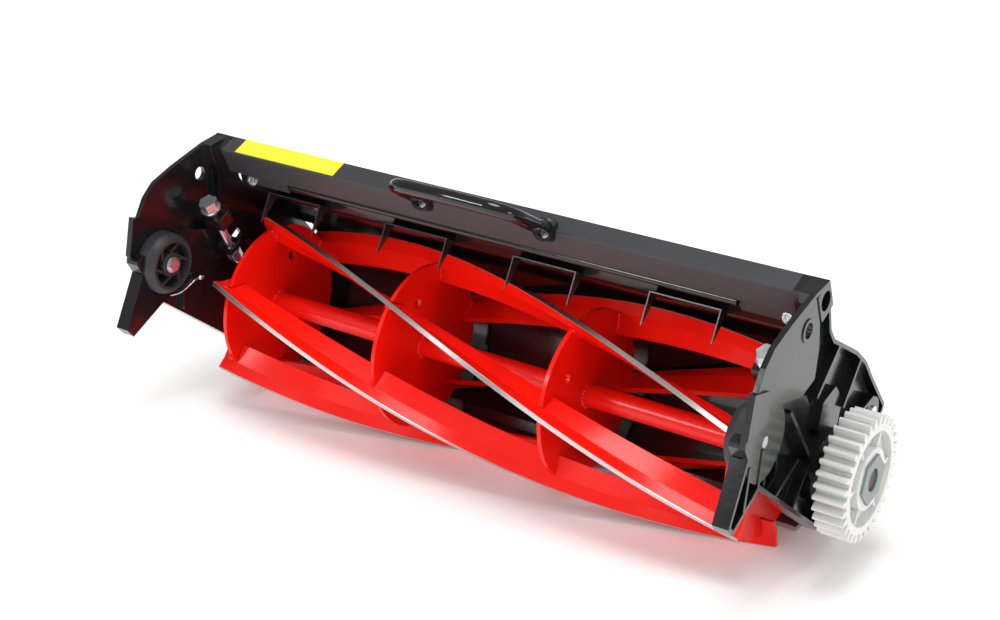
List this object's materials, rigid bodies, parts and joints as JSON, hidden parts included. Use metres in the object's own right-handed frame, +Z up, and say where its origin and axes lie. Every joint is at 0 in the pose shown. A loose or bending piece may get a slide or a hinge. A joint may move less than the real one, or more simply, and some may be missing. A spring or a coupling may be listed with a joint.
{
  "type": "reel mower cutting cassette",
  "caption": "Cutting cassette of a reel mower: a helical bladed reel between cast side plates, with a top bar, a handle, a bottom blade and a drive gear.",
  "frame": {"origin": "middle of the bottom of the bounding box, on the surface that the sole and the reel stand on", "axes": "+X along the reel from the plain end to the geared end, +Y to the rear, where the bottom blade is, +Z up"},
  "size_m": [0.4316, 0.1852, 0.1867],
  "materials": {
    "cast_black": "gloss black paint on die-cast metal",
    "bar_black": "matt black powder coat",
    "gloss_black": "gloss black paint on steel",
    "guard_black": "satin dark grey paint on sheet steel",
    "reel_red": "gloss red paint, ground bare on the blade edges",
    "ground_steel": "ground",
    "zinc": "bright zinc plate",
    "bearing_steel": "polished",
    "nut_grey": "grey-green passivated zinc",
    "nylon_white": "moulded nylon, slightly translucent",
    "roller_black": "moulded, matt",
    "label_yellow": "plain printed film"
  },
  "bodies": {
    "frame": {"left_side_plate": "cast_black", "right_side_plate": "cast_black", "top_bar": "bar_black", "label_plate": "label_yellow", "carry_handle": "gloss_black", "handle_screws": "zinc", "rear_deflector": "gloss_black", "left_deflector_clip": "bar_black", "right_deflector_clip": "bar_black", "grass_guard_1": "guard_black", "grass_guard_2": "guard_black", "grass_guard_3": "guard_black", "grass_guard_4": "guard_black", "left_bearing_outer": "bearing_steel", "right_bearing_outer": "bearing_steel", "left_roller_bolt": "zinc", "right_roller_bolt": "zinc", "left_pivot_bolt": "zinc", "right_pivot_bolt": "zinc", "left_adjuster_bracket": "gloss_black", "right_adjuster_bracket": "gloss_black"},
    "reel": {"reel_shaft": "reel_red", "reel_blade_1": "reel_red", "reel_blade_2": "reel_red", "reel_blade_3": "reel_red", "reel_blade_4": "reel_red", "reel_blade_5": "reel_red", "reel_blade_6": "reel_red", "reel_disc_1": "reel_red", "reel_disc_2": "reel_red", "reel_disc_3": "reel_red", "reel_disc_4": "reel_red", "drive_gear": "nylon_white", "gear_nut": "nut_grey", "left_bearing_inner": "bearing_steel", "right_bearing_inner": "bearing_steel"},
    "left_front_roller": {"left_roller": "roller_black"},
    "right_front_roller": {"right_roller": "roller_black"},
    "cutting_bar": {"bottom_blade": "ground_steel", "blade_carrier": "gloss_black", "left_carrier_arm": "gloss_black", "right_carrier_arm": "gloss_black", "blade_screws": "zinc"},
    "left_adjuster": {"left_adjuster_screw": "zinc"},
    "right_adjuster": {"right_adjuster_screw": "zinc"}
  },
  "joints": [
    {"name": "reel_spin", "type": "hinge", "parent": "frame", "child": "reel", "pos_m": [-0.01265, 0.0152, 0.057], "axis": [1, 0, 0], "continuous": true},
    {"name": "left_roller_spin", "type": "hinge", "parent": "frame", "child": "left_front_roller", "pos_m": [-0.2047, -0.0573, 0.1027], "axis": [1, 0, 0], "continuous": true},
    {"name": "right_roller_spin", "type": "hinge", "parent": "frame", "child": "right_front_roller", "pos_m": [0.1794, -0.0573, 0.1027], "axis": [1, 0, 0], "continuous": true},
    {"name": "cutting_bar_tilt", "type": "hinge", "parent": "frame", "child": "cutting_bar", "pos_m": [-0.01265, 0.0752, 0.062], "axis": [1, 0, 0], "range_deg": [0, 1.2]},
    {"name": "left_adjuster_turn", "type": "hinge", "parent": "frame", "child": "left_adjuster", "pos_m": [-0.19685, -0.0253, 0.1296], "axis": [0, 0.4494, -0.8933], "range_deg": [-600, 0]},
    {"name": "right_adjuster_turn", "type": "hinge", "parent": "frame", "child": "right_adjuster", "pos_m": [0.17155, -0.0253, 0.1296], "axis": [0, 0.4494, -0.8933], "range_deg": [-600, 0]}
  ],
  "couplings": [
    {"joint": "left_adjuster_turn", "follows": "cutting_bar_tilt", "ratio": -466.5},
    {"joint": "right_adjuster_turn", "follows": "cutting_bar_tilt", "ratio": -466.5}
  ]
}
